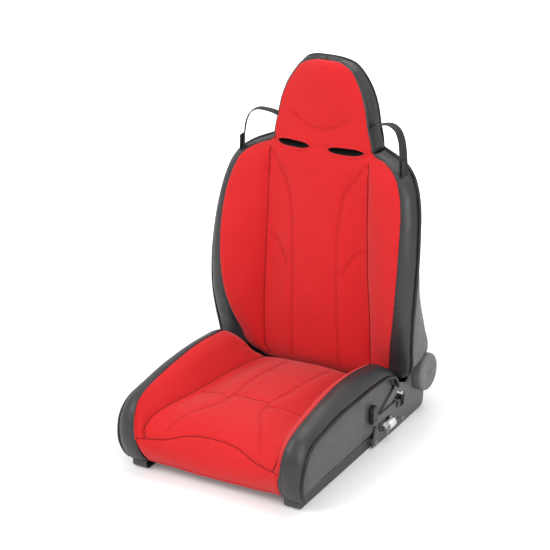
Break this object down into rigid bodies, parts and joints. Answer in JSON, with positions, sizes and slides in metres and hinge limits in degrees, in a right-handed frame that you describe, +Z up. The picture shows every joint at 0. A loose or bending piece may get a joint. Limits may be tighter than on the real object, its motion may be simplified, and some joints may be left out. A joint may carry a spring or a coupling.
{
  "type": "racing seat",
  "caption": "Reclining bucket seat with padded bolsters, one-piece headrest, two harness slots, webbing grab loops and a side recliner on a steel base.",
  "frame": {"origin": "on the floor plane at the middle of the seat's footprint", "axes": "+X to the sitter's left, where the release lever is, +Y to the rear, +Z up"},
  "size_m": [0.6082, 0.7286, 0.941],
  "materials": {
    "red_fabric": "fine ribbed knit, matt",
    "black_vinyl": "smooth grained vinyl, satin",
    "black_piping": "satin cord",
    "foam": "moulded foam under black cloth",
    "black_webbing": "ribbed woven webbing",
    "slot_lining": "stitched cloth sleeve with a red rim",
    "grey_plastic": "moulded, satin",
    "black_plastic": "moulded",
    "zinc_wire": "bright zinc",
    "spring_steel": "blued",
    "plain_steel": "dull zinc",
    "painted_steel": "grey-black powder coat"
  },
  "bodies": {
    "seat_base": {"base_front_tube": "painted_steel", "base_rail_left": "painted_steel", "base_rail_right": "painted_steel", "base_rear_tube": "painted_steel", "base_straps": "black_webbing", "coil_spring": "zinc_wire", "cushion_bolster_left": "red_fabric", "cushion_bolster_right": "red_fabric", "cushion_centre_pad": "red_fabric", "cushion_foam_core": "foam", "cushion_front_panel": "red_fabric", "cushion_piping_left": "black_piping", "cushion_piping_right": "black_piping", "cushion_side_band_left": "black_vinyl", "cushion_side_band_right": "black_vinyl", "cushion_side_panel_left": "black_vinyl", "cushion_side_panel_right": "black_vinyl", "cushion_tube_left": "painted_steel", "cushion_tube_right": "painted_steel", "hinge_cap_left": "grey_plastic", "hinge_cap_right": "grey_plastic", "pivot_bolt_left": "plain_steel", "pivot_bolt_right": "plain_steel", "plate_fasteners": "plain_steel", "recliner_plate_left": "painted_steel", "recliner_plate_right": "painted_steel", "shaft_brackets": "painted_steel", "spiral_spring_left": "spring_steel", "spiral_spring_right": "spring_steel", "spring_post": "plain_steel"},
    "backrest": {"arm_bolts": "plain_steel", "back_bolster_left": "red_fabric", "back_bolster_right": "red_fabric", "back_centre_pad": "red_fabric", "back_lower_tube": "painted_steel", "back_piping_left": "black_piping", "back_piping_right": "black_piping", "back_shell": "black_vinyl", "back_side_band_left": "black_vinyl", "back_side_band_right": "black_vinyl", "back_side_tube_left": "painted_steel", "back_side_tube_right": "painted_steel", "back_straps": "black_webbing", "back_upper_tube": "painted_steel", "grab_handle_left": "black_webbing", "grab_handle_right": "black_webbing", "handle_patches": "black_webbing", "harness_slot_left": "slot_lining", "harness_slot_right": "slot_lining", "headrest_cover": "black_vinyl", "headrest_hoop": "painted_steel", "headrest_pad": "red_fabric", "recliner_arm_left": "plain_steel", "recliner_arm_right": "plain_steel"},
    "release_shaft": {"cross_shaft": "plain_steel", "pawl_left": "plain_steel", "pawl_right": "plain_steel", "release_lever": "painted_steel", "lever_grip": "black_plastic"}
  },
  "joints": [
    {"name": "recline", "type": "hinge", "parent": "seat_base", "child": "backrest", "pos_m": [0, 0.303, 0.105], "axis": [-1, 0, 0], "range_deg": [-4, 55]},
    {"name": "release_lift", "type": "hinge", "parent": "seat_base", "child": "release_shaft", "pos_m": [0, 0.161, 0.071], "axis": [-1, 0, 0], "range_deg": [0, 10], "stiffness_Nm_per_rad": 2, "springref_deg": -11.46}
  ]
}
